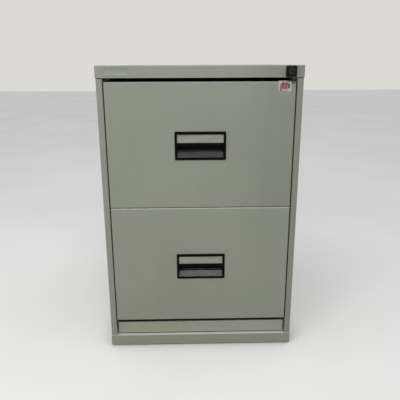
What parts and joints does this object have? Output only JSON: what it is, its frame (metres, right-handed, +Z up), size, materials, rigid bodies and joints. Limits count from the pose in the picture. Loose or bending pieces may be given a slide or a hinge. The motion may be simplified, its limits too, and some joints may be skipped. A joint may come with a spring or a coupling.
{
  "type": "filing cabinet",
  "caption": "Steel filing cabinet with deep drawers on telescopic ball-bearing slides, recessed label handles and a corner lock that blocks all drawers.",
  "frame": {"origin": "on the floor, in the middle of the overall outline", "axes": "+X to the right seen from the front, the drawers face -Y, +Z up"},
  "size_m": [0.47, 0.622, 0.711],
  "materials": {
    "green_grey_paint": "pale grey-green stoved paint with a slight orange-peel, worn a little at the edges",
    "zinc_plate": "bright zinc plate",
    "black_plastic": "black moulded plastic, satin",
    "clear_film": "clear acetate",
    "black_lock": "black lacquered die-cast",
    "nickel": "dull nickel plate",
    "rubber": "black rubber",
    "nylon": "natural nylon",
    "ball_steel": "polished ball steel with a film of grease",
    "aluminium": "dull plate, coloured close to the paint",
    "paper": "aged cream paper label"
  },
  "bodies": {
    "cabinet": {"left_side_panel": "green_grey_paint", "right_side_panel": "green_grey_paint", "top_panel": "green_grey_paint", "back_panel": "green_grey_paint", "base_frame": "green_grey_paint", "bottom_panel": "green_grey_paint", "bottom_rail": "green_grey_paint", "top_rail": "green_grey_paint", "left_front_upright": "green_grey_paint", "right_front_upright": "green_grey_paint", "left_rear_upright": "green_grey_paint", "right_rear_upright": "green_grey_paint", "upper_outer_slides": "zinc_plate", "lower_outer_slides": "zinc_plate", "slide_screws": "zinc_plate", "lock_bezel": "black_lock", "lock_housing": "nickel", "lock_nut": "zinc_plate", "lock_bar_guides": "nylon", "floor_glides": "black_plastic", "drawer_buffers": "rubber", "nameplate": "aluminium"},
    "lock_plug": {"lock_barrel": "nickel", "lock_cam": "zinc_plate", "lock_cam_screw": "zinc_plate"},
    "locking_bar": {"lock_bar": "zinc_plate"},
    "upper_drawer": {"upper_drawer_front": "green_grey_paint", "upper_inner_front": "green_grey_paint", "upper_left_side": "green_grey_paint", "upper_right_side": "green_grey_paint", "upper_drawer_bottom": "green_grey_paint", "upper_drawer_back": "green_grey_paint", "upper_handle": "black_plastic", "upper_label_window": "clear_film", "upper_inner_slides": "zinc_plate", "upper_lock_catch": "zinc_plate", "upper_rivets": "zinc_plate", "sticker": "paper"},
    "upper_slide_middles": {"upper_middle_slides": "zinc_plate"},
    "upper_slide_outer_bearings": {"upper_outer_cages": "zinc_plate", "upper_outer_balls": "ball_steel"},
    "upper_slide_inner_bearings": {"upper_inner_cages": "zinc_plate", "upper_inner_balls": "ball_steel"},
    "lower_drawer": {"lower_drawer_front": "green_grey_paint", "lower_inner_front": "green_grey_paint", "lower_left_side": "green_grey_paint", "lower_right_side": "green_grey_paint", "lower_drawer_bottom": "green_grey_paint", "lower_drawer_back": "green_grey_paint", "lower_handle": "black_plastic", "lower_label_window": "clear_film", "lower_inner_slides": "zinc_plate", "lower_lock_catch": "zinc_plate", "lower_rivets": "zinc_plate"},
    "lower_slide_middles": {"lower_middle_slides": "zinc_plate"},
    "lower_slide_outer_bearings": {"lower_outer_cages": "zinc_plate", "lower_outer_balls": "ball_steel"},
    "lower_slide_inner_bearings": {"lower_inner_cages": "zinc_plate", "lower_inner_balls": "ball_steel"}
  },
  "joints": [
    {"name": "upper_drawer_slide", "type": "slide", "parent": "cabinet", "child": "upper_drawer", "axis": [0, -1, 0], "range_m": [0, 0.52]},
    {"name": "upper_slide_middles_slide", "type": "slide", "parent": "cabinet", "child": "upper_slide_middles", "axis": [0, -1, 0], "range_m": [0, 0.26]},
    {"name": "upper_slide_outer_bearings_slide", "type": "slide", "parent": "cabinet", "child": "upper_slide_outer_bearings", "axis": [0, -1, 0], "range_m": [0, 0.13]},
    {"name": "upper_slide_inner_bearings_slide", "type": "slide", "parent": "cabinet", "child": "upper_slide_inner_bearings", "axis": [0, -1, 0], "range_m": [0, 0.39]},
    {"name": "lower_drawer_slide", "type": "slide", "parent": "cabinet", "child": "lower_drawer", "axis": [0, -1, 0], "range_m": [0, 0.52]},
    {"name": "lower_slide_middles_slide", "type": "slide", "parent": "cabinet", "child": "lower_slide_middles", "axis": [0, -1, 0], "range_m": [0, 0.26]},
    {"name": "lower_slide_outer_bearings_slide", "type": "slide", "parent": "cabinet", "child": "lower_slide_outer_bearings", "axis": [0, -1, 0], "range_m": [0, 0.13]},
    {"name": "lower_slide_inner_bearings_slide", "type": "slide", "parent": "cabinet", "child": "lower_slide_inner_bearings", "axis": [0, -1, 0], "range_m": [0, 0.39]},
    {"name": "lock_bar_lift", "type": "slide", "parent": "cabinet", "child": "locking_bar", "axis": [0, 0, 1], "range_m": [0, 0.01273]},
    {"name": "lock_turn", "type": "hinge", "parent": "cabinet", "child": "lock_plug", "pos_m": [0.2043, -0.304, 0.6974], "axis": [0, -1, 0], "range_deg": [0, 90]}
  ],
  "couplings": [
    {"joint": "upper_slide_middles_slide", "follows": "upper_drawer_slide", "ratio": 0.5},
    {"joint": "upper_slide_outer_bearings_slide", "follows": "upper_drawer_slide", "ratio": 0.25},
    {"joint": "upper_slide_inner_bearings_slide", "follows": "upper_drawer_slide", "ratio": 0.75},
    {"joint": "lower_slide_middles_slide", "follows": "lower_drawer_slide", "ratio": 0.5},
    {"joint": "lower_slide_outer_bearings_slide", "follows": "lower_drawer_slide", "ratio": 0.25},
    {"joint": "lower_slide_inner_bearings_slide", "follows": "lower_drawer_slide", "ratio": 0.75},
    {"joint": "lock_turn", "follows": "lock_bar_lift", "rad_per_m": 123.41}
  ]
}
